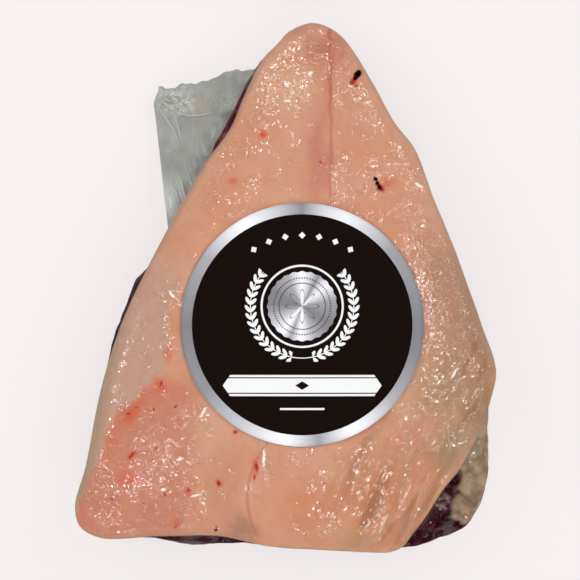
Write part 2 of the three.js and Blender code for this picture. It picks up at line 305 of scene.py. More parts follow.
# Where the fat is lumpy under the film: x, y, reach in x and y, and how strongly
LUMPY_PLACES = [
    (-73, -66, 18, 27, 0.64),
    (-99, -82, 8, 11, 0.9),
    (-98, -97, 18, 11, 0.32),
    (-56, -92, 9, 20, 0.85),
    (-50, -42, 8, 10, 0.6),
    (-20, -66, 5, 10, 0.7),
    (-6, -68, 6, 8, 0.5),
    (0, 144, 20, 9, 0.65),
    (25, 130, 9, 14, 0.5),
    (-24, 119, 9, 18, 0.55),
    (50, 84, 9, 14, 0.4),
    (64, 44, 16, 30, 0.95),
    (80, 8, 22, 36, 0.8),
    (88, 0, 12, 22, 0.7),
    (80, -26, 10, 16, 0.5),
    (32, 70, 14, 11, 0.62),
    (32, 106, 9, 12, 0.6),
    (-2, 122, 14, 14, 0.62),
    (4, 134, 12, 10, 0.4),
    (20, 66, 6, 9, 0.4),
    (70, -34, 16, 18, 0.5),
    (50, -50, 15, 15, 0.6),
    (46, -64, 24, 13, 0.4),
    (75, -60, 13, 14, 0.8),
    (40, -80, 30, 28, 0.6),
    (-17, 107, 6, 17, 0.5),
    (-32, 86, 9, 9, 0.4),
    (-42, 62, 12, 12, 0.35),
    (-86, -6, 9, 18, 0.25),
    (-66, 18, 9, 14, 0.5),
    (-74, -2, 13, 15, 0.38),
]
PLAIN_LUMPS = 0.12


def lumpiness(x, y):
    places = 0
    for at_x, at_y, reach_x, reach_y, strength in LUMPY_PLACES:
        places += strength * bell(np.hypot((x - at_x) / reach_x, (y - at_y) / reach_y), 1)
    return np.clip(PLAIN_LUMPS + places, 0, 1)


def skin_relief(points):
    """How far the fat and the film over it stand out, along the surface's own direction."""
    x, y = points[:, 0], points[:, 1]
    beside = smoothstep(np.hypot(x, y), LABEL_RADIUS + 1, LABEL_RADIUS + 8)
    here = lumpiness(x, y)
    medium = swelling(points, MEDIUM_LUMPS) * here
    broad = swelling(points, BROAD_LUMPS) * here
    return (medium + broad + swelling(points, COARSE_LUMPS)) * beside


# Making of pieces


def deselect():
    bpy.ops.object.select_all(action="DESELECT")


def coordinates(piece):
    flat = np.empty(len(piece.data.vertices) * 3)
    piece.data.vertices.foreach_get("co", flat)
    return flat.reshape(-1, 3)


def normals(piece):
    flat = np.empty(len(piece.data.vertices) * 3)
    piece.data.vertices.foreach_get("normal", flat)
    return flat.reshape(-1, 3)


def facing_up(directions):
    """1 where a direction points up, falling to 0 where it points down."""
    return smoothstep(directions[:, 2], -0.2, 0.2)


def reshape(piece, points):
    """Moves the piece's vertices to points, given in millimetres about the label."""
    placed = (points + np.array([CENTRE.x, CENTRE.y, 0])) * MM
    piece.data.vertices.foreach_set("co", placed.ravel())
    piece.data.update()


def measured(piece):
    """The piece's vertices in millimetres about the label."""
    return coordinates(piece) / MM - np.array([CENTRE.x, CENTRE.y, 0])


def loaf(name, rings):
    """A closed skin through rings of points: a grid wrapped round, drawn to a point at both ends."""
    rings = np.array(rings)
    last, spokes = rings.shape[0] - 1, rings.shape[1]
    deselect()
    bpy.ops.mesh.primitive_grid_add(x_subdivisions=spokes, y_subdivisions=last, size=1)
    piece = bpy.context.object
    piece.name = name
    piece.data.name = name
    sheet = coordinates(piece)
    spoke = np.rint((sheet[:, 0] + 0.5) * spokes).astype(int) % spokes
    ring = np.rint((0.5 - sheet[:, 1]) * last).astype(int)
    points = rings[ring, spoke]
    for pole in (0, last):
        points[ring == pole] = rings[pole].mean(axis=0)
    reshape(piece, points)
    bpy.ops.object.mode_set(mode="EDIT")
    bpy.ops.mesh.select_all(action="SELECT")
    bpy.ops.mesh.remove_doubles(threshold=MERGE_DISTANCE)
    bpy.ops.mesh.normals_make_consistent(inside=False)
    bpy.ops.object.mode_set(mode="OBJECT")
    bpy.ops.object.shade_smooth()
    return piece


def paint(piece, name, values):
    """Keeps a number for each vertex, for the piece's material to read."""
    layer = piece.data.attributes.new(name, "FLOAT", "POINT")
    layer.data.foreach_set("value", values.astype(np.float32))


def belongs(piece, node, material):
    piece.data.materials.clear()
    piece.data.materials.append(material)
    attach(piece, "root")
    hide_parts(node)


def fat_cap():
    spokes = Spokes(SKIN_SPOKES)
    rim = spokes.plateau(spokes.fat_reach) - FAT_DROP
    lip = []
    for turn in np.linspace(0, math.pi / 2, LIP_RINGS + 1)[1:]:
        height = lerp(rim, spokes.seam + SEAM_GAP, math.sin(turn))
        lip.append(spokes.point(spokes.fat_reach - LIP_INSET * (1 - math.cos(turn)), height))
    under = []
    for share in (0.97, 0.85, 0.6, 0.3, 0):
        radius = (spokes.fat_reach - LIP_INSET) * share
        under.append(spokes.point(radius, spokes.plateau(radius) - FAT_THICKNESS + SEAM_GAP))
    piece = loaf("fat_cap", spokes.top_rings() + lip + under)
    points, out = measured(piece), normals(piece)
    reshape(piece, points + out * (skin_relief(points) * facing_up(out))[:, None])
    paint(piece, "lumpiness", lumpiness(points[:, 0], points[:, 1]))
    # The fold heights, from which the fat's material paints shade in the valleys and highlights on the
    # ridges
    paint(piece, "folds", folds(points[:, 0], points[:, 1]))
    return piece


def lean():
    spokes = Spokes(LEAN_SPOKES)
    seam_reach = spokes.fat_reach - SEAM_INSET
    top = []
    for share in (0, 0.3, 0.6, 0.85, 1):
        radius = seam_reach * share
        top.append(spokes.point(radius, spokes.plateau(radius) - FAT_THICKNESS - SEAM_GAP))

    def under_fat(share):
        return spokes.seam - SEAM_GAP

    side = spokes.side_rings(seam_reach, under_fat, LEAN_UPPER_RINGS, LEAN_LOWER_RINGS)
    piece = loaf("lean", top + side + spokes.base_rings(LEAN_BASE_RINGS))
    points = measured(piece)
    relief = swelling(points, LEAN_LUMPS) + swelling(points, SMALL_LEAN_LUMPS)
    points += normals(piece) * (relief - LEAN_SHRINK)[:, None]
    points[:, 2] = np.maximum(points[:, 2], LEAN_LIFT)
    reshape(piece, points)
    return piece


def film():
    spokes = Spokes(SKIN_SPOKES)
    rim = spokes.plateau(spokes.fat_reach) - FAT_DROP

    def fillet(share):
        return lerp(rim, spokes.seam + FILM_SEAM_GAP, share**0.5)

    side = spokes.side_rings(spokes.fat_reach, fillet, FILM_UPPER_RINGS, FILM_LOWER_RINGS)
    piece = loaf("film", spokes.top_rings() + side + spokes.base_rings(FILM_BASE_RINGS))
    points, out = measured(piece), normals(piece)
    upward = facing_up(out)
    lift = FILM_LIFT + skin_relief(points) * upward + SIDE_LIFT * (1 - upward)
    points = points + out * lift[:, None]
    points[:, 2] = np.maximum(points[:, 2], 0)
    reshape(piece, points)
    paint(piece, "lumpiness", lumpiness(points[:, 0], points[:, 1]))
    paint(piece, "clinging", smoothstep(upward, 0.98, 0.6))
    return piece


def label():
    angle = np.arange(LABEL_SPOKES) / LABEL_SPOKES * math.tau
    front = LABEL_GAP + LABEL_THICKNESS
    profile = [(LABEL_RADIUS * ring / LABEL_RINGS, front) for ring in range(LABEL_RINGS + 1)]
    for ring in range(LABEL_BACK_RINGS + 1):
        profile.append((LABEL_RADIUS * (1 - ring / LABEL_BACK_RINGS), LABEL_GAP))
    skin = []
    for radius, lift in profile:
        x, y = radius * np.cos(angle), radius * np.sin(angle)
        skin.append(np.stack([x, y, top_height(x, y) + lift], axis=-1))
    return loaf("label_disc", skin)


def meat_edge(y):
    side = np.array(PLAN[-TAIL_SIDE_STATIONS:])
    return np.interp(y, side[:, 1], side[:, 0])


def cut_edge(u):
    ragged = 0.5 * np.sin(u * 27 + 1) + 0.3 * np.sin(u * 61) - TAIL_DIP * bell(u - 0.12, 0.1)
    return TAIL_CORNER_Y + TAIL_RISE * u + ragged + TAIL_STEP * smoothstep(u, 0.5, 0.64)


# Sharp creases in the loose end: height, and the corners of each
TAIL_CREASES = [
    (0.9, [(-73.4, 112), (-70.8, 107), (-68.5, 103.5), (-64.6, 97.5), (-61.4, 89)]),
    (0.9, [(-67.5, 110), (-64.2, 105), (-62.6, 99.6), (-61.3, 91)]),
    (0.8, [(-66.5, 109.5), (-62.5, 107), (-58, 105.6), (-52, 105.5), (-47, 106.3), (-42.5, 108)]),
    (0.5, [(-70.2, 90.6), (-67.8, 87.6), (-63.6, 86.8)]),
    (0.5, [(-60.2, 86.5), (-59, 80), (-56, 73)]),
    (0.6, [(-67.7, 73.5), (-63.6, 66.5), (-60.4, 57.3)]),
    (0.6, [(-63.6, 78.5), (-60.6, 71.5), (-58.2, 62)]),
    (0.6, [(-60.4, 80.2), (-57, 75), (-54.4, 68)]),
    (0.5, [(-66.3, 79), (-62.6, 70), (-59.6, 61.5)]),
    (0.4, [(-69.2, 82), (-66.5, 76), (-65.4, 68)]),
    (0.6, [(-73.3, 117), (-68, 113.6), (-63, 112.4), (-57, 107.5)]),
    (0.6, [(-74, 113), (-69.5, 112), (-66, 109.2), (-61, 109.6)]),
    (0.6, [(-72.5, 119.5), (-66, 117), (-60, 115.6), (-55, 111)]),
    (0.5, [(-68.6, 110), (-65, 114.4), (-61, 112), (-58, 113.5)]),
    (0.4, [(-48, 117.5), (-44.6, 114.6), (-41.8, 110)]),
    (0.3, [(-72.9, 109), (-72.4, 100), (-70.6, 86)]),
    (0.3, [(-56, 104), (-55, 96), (-55.5, 88)]),
]


def tail_creases(x, y):
    ridges = np.zeros(x.shape)
    for height, path in TAIL_CREASES:
        ridges = np.maximum(ridges, height * ridge(x, y, path, TAIL_CREASE_WIDTH))
    return ridges


def tail_height(x, y):
    beyond = np.maximum(meat_edge(y) - x, 0)
    droop = lerp(TAIL_ROOT_HEIGHT, TAIL_EDGE_HEIGHT, smoothstep(beyond, 0, TAIL_REACH))
    pleats = 0.4 * np.sin(x / 1.3 + y / 3.1) * bell(x - meat_edge(y) + 5, 6) * bell(y - 68, 18)
    near_corner = bell(x + 66, 9) * bell(y - 112.5, 7)
    crumple = 1.3 * np.sin(x / 1.3 + 2 * np.sin(y / 3)) * np.sin(y / 1.5 + 1.5 * np.sin(x / 4))
    band = 1.2 * smoothstep(y - 0.03 * x, TAIL_FOLD_Y - 1, TAIL_FOLD_Y + 3)
    billow = 0.6 * np.sin(x / 8 + 1) * np.sin(y / 11)
    return droop + pleats + crumple * near_corner + band + billow + tail_creases(x, y)


def bag_end():
    deselect()
    bpy.ops.mesh.primitive_grid_add(x_subdivisions=TAIL_COLUMNS, y_subdivisions=TAIL_ROWS, size=1)
    piece = bpy.context.object
    piece.name = "bag_end"
    grid = coordinates(piece)
    u, v = grid[:, 0] + 0.5, grid[:, 1] + 0.5
    y = lerp(TAIL_LOW_Y, cut_edge(u), v)
    left = lerp(TAIL_LEFT_LOW_X, TAIL_LEFT_HIGH_X, v) + TAIL_CORNER_CUT * smoothstep(v, 0.88, 1)
    x = lerp(left, meat_edge(y) + TAIL_OVERLAP, u)
    reshape(piece, np.stack([x, y, tail_height(x, y)], axis=-1))
    paint(piece, "creases", tail_creases(x, y))
    wall = piece.modifiers.new("wall", "SOLIDIFY")
    wall.thickness = TAIL_THICKNESS * MM
    wall.offset = 0
    bpy.ops.object.modifier_apply(modifier="wall")
    bpy.ops.object.shade_smooth()
    return piece


# Materials

# How far a patch of colour reaches up and down: all the way through
TALL = 1000


def srgb(red, green, blue):
    """A colour read off as 8-bit values, as the linear colour that shaders take."""
    linear = []
    for share in (red / 255, green / 255, blue / 255):
        linear.append(share / 12.92 if share <= 0.04045 else ((share + 0.055) / 1.055) ** 2.4)
    return (*linear, 1.0)


class Value:
    """A socket that takes part in Python arithmetic, adding its Math nodes as it goes."""

    def __init__(self, finish, socket):
        self.finish = finish
        self.socket = socket

    def calc(self, operation, *others):
        sockets = dict(enumerate((self, *others)))
        return self.finish.node("ShaderNodeMath", {"operation": operation}, sockets)

    def __add__(self, other):
        return self.calc("ADD", other)

    __radd__ = __add__

    def __mul__(self, other):
        return self.calc("MULTIPLY", other)

    __rmul__ = __mul__

    def __sub__(self, other):
        return self.calc("SUBTRACT", other)

    def __rsub__(self, other):
        return (self * -1) + other

    def __truediv__(self, other):
        return self.calc("DIVIDE", other)

    def __pow__(self, other):
        return self.calc("POWER", other)

    def above(self, low, high):
        """0 up to low, 1 from high on, and smooth between; low may be the greater."""
        sockets = {"Value": self, "From Min": low, "From Max": high}
        return self.finish.node("ShaderNodeMapRange", {"interpolation_type": "SMOOTHSTEP"}, sockets)


class Finish:
    """A material that is being worked out."""

    def __init__(self, holder):
        """Works in a new material of that name, or in a world."""
        self.holder = bpy.data.materials.new(holder) if isinstance(holder, str) else holder
        self.holder.use_nodes = True
        self.tree = self.holder.node_tree
        self.tree.nodes.clear()

    @cached_property
    def mm(self):
        """The place in millimetres about the label."""
        place = self.node("ShaderNodeTexCoord", output="Object")
        return self.placed(place, (CENTRE.x * MM, CENTRE.y * MM, 0), scale=(MM, MM, MM))

    def node(self, kind, settings=None, sockets=None, output=0):
        node = self.tree.nodes.new(kind)
        for name, setting in (settings or {}).items():
            if name == "stops":
                ramp = node.color_ramp.elements
                while len(ramp) < len(setting):
                    ramp.new(0.5)
                for stop, (position, colour) in zip(ramp, setting):
                    stop.position = position
                    stop.color = colour
            else:
                setattr(node, name, setting)
        for name, value in (sockets or {}).items():
            if isinstance(value, Value):
                self.tree.links.new(value.socket, node.inputs[name])
            else:
                node.inputs[name].default_value = value
        return None if output is None else Value(self, node.outputs[output])

    def attribute(self, name):
        """A number that was painted on the mesh."""
        return self.node("ShaderNodeAttribute", {"attribute_name": name}, output="Fac")

    def vector(self, operation, sockets, output=0):
        return self.node("ShaderNodeVectorMath", {"operation": operation}, sockets, output)

    def axis(self, vector, name):
        return self.node("ShaderNodeSeparateXYZ", None, {0: vector}, name)

    def noise(self, pitch, detail=2.0, roughness=0.5, where=None, output=0):
        """Noise from 0 to 1 with lumps about as wide as the pitch, in millimetres."""
        sockets = {
            "Vector": where or self.mm,
            "Scale": 1 / pitch,
            "Detail": detail,
            "Roughness": roughness,
        }
        return self.node("ShaderNodeTexNoise", {"noise_dimensions": "3D"}, sockets, output)

    def shift(self, by, amount, where=None):
        """The place, pushed about by a colour of noise."""
        centred = self.vector("SUBTRACT", {0: by, 1: (0.5, 0.5, 0.5)})
        push = self.vector("SCALE", {0: centred, "Scale": amount})
        return self.vector("ADD", {0: where or self.mm, 1: push})

    def placed(self, where, start=(0, 0, 0), turn=0, scale=(1, 1, 1)):
        """The place, as measured from a start, in a turned and stretched frame."""
        sockets = {
            "Vector": where,
            "Location": start,
            "Rotation": (0, 0, math.radians(turn)),
            "Scale": scale,
        }
        return self.node("ShaderNodeMapping", {"vector_type": "TEXTURE"}, sockets)

    def patch(self, where, x, y, reach_x, reach_y, turn=0, soft=0.4):
        """A mask: 1 in the middle of an ellipse on the plan and 0 outside it."""
        inside = self.placed(where, (x, y, 0), turn, (reach_x, reach_y, TALL))
        return self.vector("LENGTH", {0: inside}, "Value").above(1, soft)

    def left_of(self, where, start, end):
        """How far a place is to the left of a line on the plan, seen from its start, in millimetres."""
        along = Vector(end) - Vector(start)
        along.normalize()
        x, y = self.axis(where, "X") - start[0], self.axis(where, "Y") - start[1]
        return y * along.x - x * along.y

    def stretched(self, degrees, factor, where=None):
        """The place, with a pattern on it drawn out along a direction on the plan."""
        return self.placed(where or self.mm, turn=degrees, scale=(factor, 1, 1))

    def mix(self, mask, under, over):
        sockets = {"Factor": mask, 6: under, 7: over}
        return self.node("ShaderNodeMix", {"data_type": "RGBA"}, sockets, 2)

    def bump(self, height, depth, strength=1.0):
        """A normal for a height from 0 to 1 that stands for depth millimetres."""
        sockets = {"Height": height, "Distance": depth * MM, "Strength": strength}
        return self.node("ShaderNodeBump", None, sockets)

    def principled(self, colour, roughness, normal=None, **constants):
        """The opaque shader. Constants are its own plain sockets, named with _ for a space."""
        sockets = {"Base Color": colour, "Roughness": roughness}
        if normal:
            sockets["Normal"] = normal
        sockets.update({name.replace("_", " "): value for name, value in constants.items()})
        return self.node("ShaderNodeBsdfPrincipled", None, sockets)

    def surface(self, shader):
        self.node("ShaderNodeOutputMaterial", None, {"Surface": shader}, None)
        return self.holder


WHITE = (1, 1, 1, 1)

# What the film and the lamps take from red, green and blue
FILM_LOSS = (1.29, 1.37, 1.46)


def seen(red, green, blue):
    """The colour of a thing that shows as these 8-bit values through the film."""
    true = (share / loss for share, loss in zip(srgb(red, green, blue), FILM_LOSS))
    return tuple(true) + (1.0,)


# Patches of colour in the fat: x, y, reach in x and y, turn, softness, colour, strength
FAT_PATCHES = [
    (12, 138, 17, 13, 0, 0.2, seen(198, 128, 108), 0.8),
    (-4, 117, 17, 17, 0, 0.2, seen(221, 174, 144), 0.8),
    (8, 84, 11, 40, 0, 0.0, seen(200, 128, 113), 0.8),
    (-6, 150, 26, 9, 0, 0.2, seen(196, 126, 108), 0.6),
    (-30, 126, 12, 18, -30, 0.1, seen(204, 138, 116), 0.6),
    (40, 70, 14, 18, 0, 0.2, seen(220, 166, 136), 0.7),
    (36, 100, 14, 20, 0, 0.2, seen(218, 162, 134), 0.6),
    (-40, 55, 14, 34, -30, 0.1, seen(216, 156, 124), 0.5),
    (-38, -80, 15, 26, 0, 0.2, seen(205, 150, 124), 0.8),
    (-30, -102, 13, 12, 0, 0.1, seen(171, 129, 108), 0.8),
    (4, -92, 24, 24, 0, 0.2, seen(209, 143, 109), 0.8),
    (72, 7, 20, 56, 14, 0.3, seen(188, 143, 118), 0.85),
    (86, 0, 12, 60, 16, 0.2, seen(166, 130, 102), 0.8),
    (71, -29, 24, 30, 0, 0.2, seen(179, 145, 114), 0.9),
    (88, -44, 13, 28, 0, 0.2, seen(162, 128, 96), 0.9),
    (72, -62, 21, 17, 30, 0.0, seen(154, 144, 118), 0.95),
    (34, -83, 24, 23, -30, 0.1, seen(198, 125, 86), 0.85),
    (50, -104, 20, 9, 0, 0.1, seen(181, 140, 104), 0.7),
    (26, -106, 16, 9, 0, 0.1, seen(188, 156, 120), 0.7),
]

# Pits and specks of blood, as x, y, half length, half width, turn: nearly black, and then red
DARK_BLOOD = [
    (27.8, 124.8, 3.5, 2.2, 52),
    (26.6, 122.8, 1.8, 1.5, 40),
    (36.4, 72, 1.8, 1.3, -60),
    (37.2, 70, 1.5, 1.3, 20),
    (38.4, 68, 2.1, 1.4, -55),
    (-42.5, -101.5, 1.3, 0.8, 60),
]
RED_BLOOD = [
    (25.2, 120.8, 3, 2, 50),
    (26.8, 119, 1.3, 1.2, 0),
    (38.8, 67.4, 3.4, 2.8, -50),
    (-84, -64.5, 3.6, 1.1, 50),
    (-69.5, -29, 2.4, 0.8, 70),
    (-73.5, -42, 1.4, 1, 30),
    (-86, -44, 1.6, 0.8, 20),
    (-82, -41, 1, 0.7, 0),
    (-62.5, -40.5, 1.2, 0.8, 20),
    (-33, -53, 1.1, 1.1, 0),
    (-41, -78, 1.4, 2.2, 20),
    (-42.5, -101, 2.2, 1.5, 70),
    (-105, -83, 1.1, 0.8, 0),
    (-67.5, -83.5, 1.4, 1.1, 0),
    (-56, -81.5, 1.5, 1.1, 30),
    (-62.5, -100, 1.6, 0.7, 50),
    (-22.5, -70, 1.1, 3.4, 6),
    (-23.5, -75, 0.8, 2.1, 0),
    (-94, -86, 0.8, 0.7, 0),
    (-78, -88, 1, 0.8, 0),
    (-72, -61, 1.4, 0.8, 40),
    (9, 80.5, 0.8, 1, 0),
    (16, 64.5, 0.8, 0.8, 0),
    (11, -78, 1, 1, 0),
]

# Where the film lies flat over blood, without glints, and the red stains round it, in the same way
FLAT_FILM = [
    (27, 123.5, 6, 4, 52),
    (37.5, 69.5, 5, 3.5, -55),
    (-84, -64.5, 5, 2.6, 50),
    (-69.5, -29, 3.5, 2, 70),
    (-22.5, -70, 2.5, 4.5, 6),
    (-56, -81.5, 3, 2.5, 0),
    (-41, -78, 3, 3.5, 20),
    (-19.5, 94, 3, 3, 0),
]
RED_STAINS = [
    (42, 70, 8.0, 5.0, 40),
    (26.5, 121, 4.0, 4.0, 40),
    (-66, -14, 4.0, 7.0, -10),
    (-70, -30, 5.0, 8.0, 30),
    (-84, -44, 9.0, 6.0, 40),
    (-84, -64, 5.0, 4.0, 45),
    (-23, -70, 3.5, 9.0, 0),
    (-86, -76, 10.0, 7.0, 0),
    (-33, -53, 3.0, 2.5, 0),
    (-41, -78, 3.0, 4.0, 20),
    (-62, -98, 4.0, 4.0, 0),
    (-56, -82, 3.0, 3.0, 0),
    (-34.5, 71, 4.0, 3.0, 0),
]

# The largest wrinkles of the film, which catch glints and are painted white as highlights, as x, y,
# half length, half width, turn
WRINKLES = [
    (-19, -65.5, 8, 1.2, 88),
    (-48.5, -43, 6, 1.2, 58),
    (75, -24, 5, 1.2, 62),
    (-64.5, 15, 4, 1.2, -50),
    (4, 125, 2.4, 1.8, 20),
    (-7.5, 119.5, 3.4, 1.3, -50),
    (58, 69, 4.5, 1.3, -30),
    (-7, 111, 3.2, 1.3, 0),
    (-60, -66, 3.4, 1.2, 10),
    (-52, -84, 4.5, 1.2, 15),
]


def fine_lumps(f):
    """Fine lumps that press through the film, in clumps: their height, and where they are."""
    places = f.attribute("lumpiness")
    clumps = f.noise(7, detail=2).above(0.28, 0.72)
    here = (places + clumps * 0.8 - 0.72).above(0.0, 0.22)
    curled = f.shift(f.noise(3.5, detail=1, output=1), 3)
    fine = f.noise(2.2, detail=1, where=curled)
    wavering = f.shift(f.noise(5, detail=1, output=1), 4)
    drawn = f.noise(1.8, detail=1, where=f.stretched(55, 3.2, wavering))
    slanting = f.patch(f.mm, 44, -76, 44, 44, soft=0.5)
    small = f.noise(1.7, detail=1, where=curled)
    flank = f.patch(f.mm, 82, 20, 30, 66, soft=0.5) * 0.8
    surface = fine + (drawn - fine) * slanting
    return (surface + (small - surface) * flank - 0.5) * here, here


def masks(f, where, rows, soft):
    """One mask over a list of small patches."""
    total = None
    for row in rows:
        spot = f.patch(where, *row, soft=soft)
        total = spot if total is None else total.calc("MAXIMUM", spot)
    return total


def fat_finish():
    f = Finish("beef_fat")
    drift = f.shift(f.noise(15, detail=3, output=1), 16)
    near = f.shift(f.noise(2.5, detail=2, output=1), 1.2)
    ragged = f.shift(f.noise(1.2, detail=2, output=1), 1.3)
    cloud = f.noise(30, detail=3)
    colour = f.mix(cloud.above(0.35, 0.65), seen(215, 156, 127), seen(220, 169, 141))
    for x, y, reach_x, reach_y, turn, soft, tint, strength in FAT_PATCHES:
        colour = f.mix(f.patch(drift, x, y, reach_x, reach_y, turn, soft) * strength, colour, tint)
    x, y = f.axis(f.mm, "X"), f.axis(f.mm, "Y")
    seam = (f.axis(f.shift(f.noise(9, detail=3, output=1), 4), "X") - 14).calc("ABSOLUTE")
    wide = seam.above(5, 0) * y.above(104, 118)
    upper = (seam.above(1.5, 0.2) * 0.6 + wide * 0.4) * y.above(58, 64)
    curve = (x + 27 - (y + 85) ** 2 * 0.0135).calc("ABSOLUTE")
    lower = curve.above(1.5, 0.1) * y.above(-51, -60) * y.above(-108, -100) * 0.6
    colour = f.mix(upper.calc("MAXIMUM", lower) * 0.8, colour, seen(189, 106, 84))
    wavy = f.shift(f.noise(9, detail=3, output=1), 8)
    strip = f.left_of(wavy, (-91, -43), (-68, -25))
    strip = strip.calc("MINIMUM", f.left_of(wavy, (-68, -25), (-64, 27)))
    strip = strip.calc("MAXIMUM", f.left_of(wavy, (-108, -82), (-90, -42)))
    pale = strip.above(-3, 2) * y.above(44, 14)
    colour = f.mix(pale * 0.9, colour, seen(199, 164, 147))
    beside = f.left_of(wavy, (-58, -110), (-54, -30)).above(-9, 7)
    inside = strip.above(2, -2) * beside * y.above(-22, -34)
    colour = f.mix(inside * 0.7, colour, seen(203, 134, 112))
    blush = f.noise(6, detail=3).above(0.45, 0.7)
    colour = f.mix(inside * blush * 0.35, colour, seen(204, 118, 96))
    colour = f.mix(strip.above(-9, -2) * inside * 0.5, colour, seen(210, 124, 94))
    flecks = f.noise(1.6, detail=2, where=near).above(0.66, 0.74)
    colour = f.mix(flecks * inside * 0.5, colour, seen(190, 80, 62))
    streaks = f.noise(3.6, detail=3, where=f.stretched(60, 6, wavy)).above(0.4, 0.6)
    slanting = f.patch(f.mm, 50, -80, 46, 44, soft=0.5)
    colour = f.mix(streaks * slanting * 0.45, colour, seen(208, 136, 97))
    colour = f.mix((1 - streaks) * slanting * 0.35, colour, seen(192, 155, 118))
    # Painted shade in the valleys of the folds, and a faint painted highlight on their ridges
    fold_shading = f.attribute("folds")
    colour = f.mix(fold_shading.above(0.05, -0.8) * 0.6, colour, seen(160, 108, 76))
    colour = f.mix(fold_shading.above(0.05, 0.5) * 0.12, colour, seen(216, 166, 130))
    mottle = f.noise(5, detail=4, roughness=0.6)
    colour = f.mix(mottle.above(0.5, 0.75) * 0.22, colour, seen(222, 176, 146))
    colour = f.mix(mottle.above(0.5, 0.25) * 0.22, colour, seen(196, 128, 100))
    # Painted shade: the fat is drawn greyer the more its surface faces sideways, and dark where it is
    # steepest
    upward = f.axis(f.node("ShaderNodeTexCoord", output="Normal"), "Z")
    colour = f.mix(upward.above(0.75, 0.1) * 0.6, colour, seen(162, 136, 108))
    edge = upward.above(0.35, 0.1)
    colour = f.mix(edge * 0.8, colour, seen(108, 96, 78))
    flank = f.left_of(near, (-113, -92), (-92, 2))
    shaded = flank.above(-8, -1) * y.above(-96, -80) * y.above(20, 4)
    colour = f.mix(shaded * 0.5, colour, seen(160, 148, 130))
    rim = f.left_of(near, (-89, 12), (-20, 134))
    colour = f.mix(rim.above(-5, -1) * 0.7, colour, seen(178, 146, 134))
    colour = f.mix(rim.above(-1.4, -0.2) * 0.6, colour, seen(122, 108, 98))
    colour = f.mix(masks(f, near, RED_STAINS, 0.0) * 0.65, colour, seen(212, 96, 68))
    colour = f.mix(f.patch(near, -19.5, 94, 4, 4, 0, 0.0) * 0.95, colour, seen(214, 92, 58))
    colour = f.mix(masks(f, ragged, RED_BLOOD, 0.3) * 0.9, colour, seen(166, 28, 22))
    colour = f.mix(masks(f, ragged, DARK_BLOOD, 0.5), colour, seen(18, 2, 8))
    height, _ = fine_lumps(f)
    normal = f.bump(height + f.noise(0.9, 2) * 0.1, 0.6)
    return f.surface(f.principled(
        colour, 0.5, normal,
        Subsurface_Weight=0.2, Subsurface_Radius=(1.0, 0.45, 0.3), Subsurface_Scale=0.003,
        Specular_IOR_Level=0.05, IOR=1.05,
    ))


def film_finish():
    """Clear film: sharp glints on the lumps and on lone pimples, wrinkles painted white as highlights,
    and little gloss where it clings."""
    f = Finish("vacuum_film")
    height, here = fine_lumps(f)
    lone = f.noise(1.6, detail=0).above(0.61, 0.74)
    wrinkles = masks(f, f.shift(f.noise(1.7, detail=2, output=1), 2.6), WRINKLES, 0.0)
    normal = f.bump(height + lone * 0.3 + wrinkles, 0.52)
    flat = masks(f, f.mm, FLAT_FILM, 0.5)
    clinging = f.attribute("clinging")
    loose = (here**2 + lone + wrinkles).calc("MINIMUM", 1) * (1 - flat) * (1 - clinging * 0.7)
    facing = f.node("ShaderNodeLayerWeight", None, {"Blend": 0.5}, "Facing")
    sheen = facing**5 * (0.15 - clinging * 0.13) + loose * 0.05 + 0.0005
    gloss = f.node(
        "ShaderNodeBsdfGlossy", {"distribution": "BECKMANN"},
        {"Color": WHITE, "Roughness": 0.2, "Normal": normal},
    )
    clear = f.node("ShaderNodeBsdfTransparent", None, {"Color": WHITE})
    film = f.node("ShaderNodeMixShader", None, {0: sheen, 1: clear, 2: gloss})
    # Painted highlight: the largest wrinkles are drawn in white diffuse, standing in for their glints
    wrinkle_glint_paint = f.node("ShaderNodeBsdfDiffuse", None, {"Color": srgb(250, 240, 232)})
    white = wrinkles.above(0.1, 0.6) * 0.7
    return f.surface(f.node("ShaderNodeMixShader", None, {0: white, 1: film, 2: wrinkle_glint_paint}))


